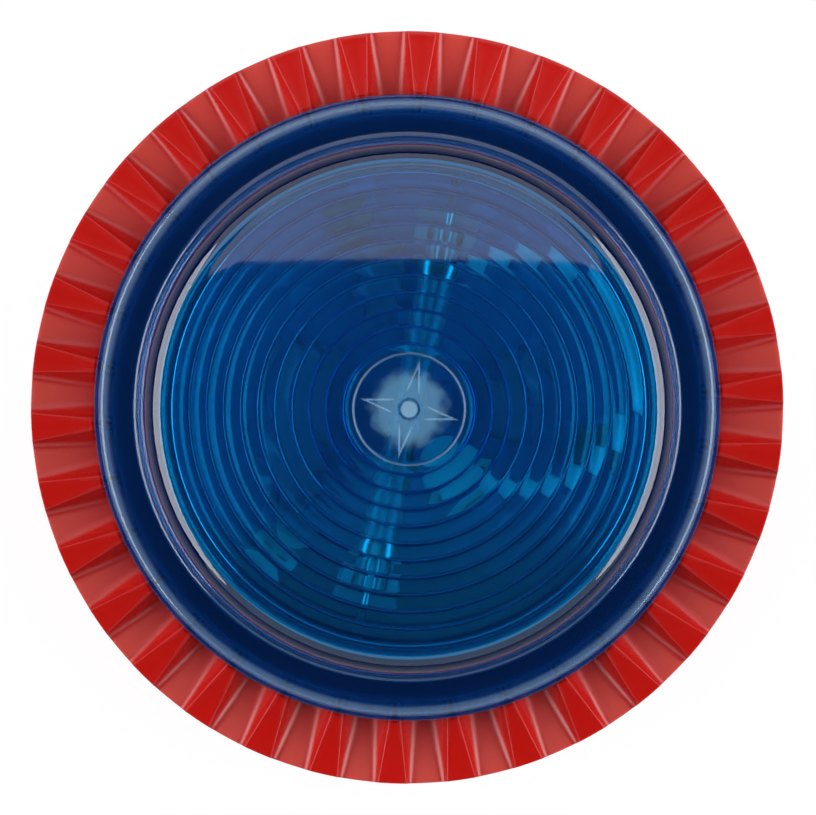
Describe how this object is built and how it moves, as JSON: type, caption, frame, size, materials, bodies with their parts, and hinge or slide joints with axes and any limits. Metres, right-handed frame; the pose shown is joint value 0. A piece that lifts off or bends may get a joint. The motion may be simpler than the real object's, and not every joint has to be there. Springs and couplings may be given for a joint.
{
  "type": "beacon sounder",
  "caption": "Wall-mounted warning beacon and sounder: a blue ringed flash lens over a red fluted sounder head that twists onto a deep round base with cable entries.",
  "frame": {"origin": "centre of the wall face of the base", "axes": "+Z away from the wall, out through the lens; +Y towards the conduit knock-out beside the terminal block; a rib of the head's crown lies on +X when the head is locked"},
  "size_m": [0.1, 0.1, 0.1014],
  "materials": {
    "red_housing": "satin moulded, fine grain",
    "black_rubber": "matt",
    "grey_terminal": "moulded",
    "plated_brass": "bright",
    "spring_bronze": "bright",
    "zinc_steel": "zinc plated",
    "piezo_ceramic": "fired, silvered",
    "black_plastic": "moulded",
    "circuit_board": "solder resist",
    "flash_board_resist": "dark blue solder resist",
    "capacitor_sleeve": "shrunk sleeve",
    "ferrite": "sintered",
    "copper_winding": "enamelled",
    "switch_block": "moulded",
    "white_plastic": "semi-gloss moulded",
    "lead_insulation": "extruded",
    "tube_glass": "clear",
    "nickel_wire": "drawn",
    "film_capacitor_red": "dipped",
    "blue_lens": "polished, transparent"
  },
  "bodies": {
    "base": {"wall_base": "red_housing", "cable_grommet": "black_rubber", "terminal_block": "grey_terminal", "terminal_clamps": "plated_brass", "terminal_screws": "zinc_steel", "contact_springs": "spring_bronze", "block_screws": "zinc_steel"},
    "head": {"sounder_body": "red_housing", "head_seal": "black_rubber", "piezo_diaphragm": "plated_brass", "piezo_ceramic": "piezo_ceramic", "piezo_clamp_ring": "black_plastic", "clamp_screws": "zinc_steel", "main_board": "circuit_board", "board_screws": "zinc_steel", "reservoir_capacitor": "capacitor_sleeve", "inverter_core": "ferrite", "inverter_winding": "copper_winding", "driver_chip": "black_plastic", "dip_switch_block": "switch_block", "trimmer_body": "switch_block", "rear_cover": "black_plastic", "cover_screws": "zinc_steel", "head_contacts": "plated_brass", "link_wires": "lead_insulation", "reflector_tray": "white_plastic", "tray_screws": "zinc_steel", "lens_seal": "black_rubber", "flash_board": "flash_board_resist", "flash_board_screws": "zinc_steel", "flash_tube": "tube_glass", "tube_electrodes": "nickel_wire", "trigger_band": "nickel_wire", "tube_supports": "white_plastic", "trigger_bobbin": "black_plastic", "trigger_winding": "copper_winding", "trigger_lead": "lead_insulation", "film_capacitors": "film_capacitor_red", "lens": "blue_lens"},
    "switch_1": {"dip_slider_1": "white_plastic"},
    "switch_2": {"dip_slider_2": "white_plastic"},
    "switch_3": {"dip_slider_3": "white_plastic"},
    "switch_4": {"dip_slider_4": "white_plastic"},
    "switch_5": {"dip_slider_5": "white_plastic"},
    "switch_6": {"dip_slider_6": "white_plastic"},
    "volume_control": {"trimmer_rotor": "white_plastic"}
  },
  "joints": [
    {"name": "head_twist", "type": "hinge", "parent": "base", "child": "head", "pos_m": [0, 0, 0.03], "axis": [0, 0, 1], "range_deg": [0, 20]},
    {"name": "switch_1_slide", "type": "slide", "parent": "head", "child": "switch_1", "axis": [0, 1, 0], "range_m": [0, 0.0017]},
    {"name": "switch_2_slide", "type": "slide", "parent": "head", "child": "switch_2", "axis": [0, 1, 0], "range_m": [0, 0.0017]},
    {"name": "switch_3_slide", "type": "slide", "parent": "head", "child": "switch_3", "axis": [0, 1, 0], "range_m": [0, 0.0017]},
    {"name": "switch_4_slide", "type": "slide", "parent": "head", "child": "switch_4", "axis": [0, 1, 0], "range_m": [0, 0.0017]},
    {"name": "switch_5_slide", "type": "slide", "parent": "head", "child": "switch_5", "axis": [0, 1, 0], "range_m": [0, 0.0017]},
    {"name": "switch_6_slide", "type": "slide", "parent": "head", "child": "switch_6", "axis": [0, 1, 0], "range_m": [0, 0.0017]},
    {"name": "volume_turn", "type": "hinge", "parent": "head", "child": "volume_control", "pos_m": [0.0135, -0.012, 0.032], "axis": [0, 0, -1], "range_deg": [-135, 135]}
  ]
}
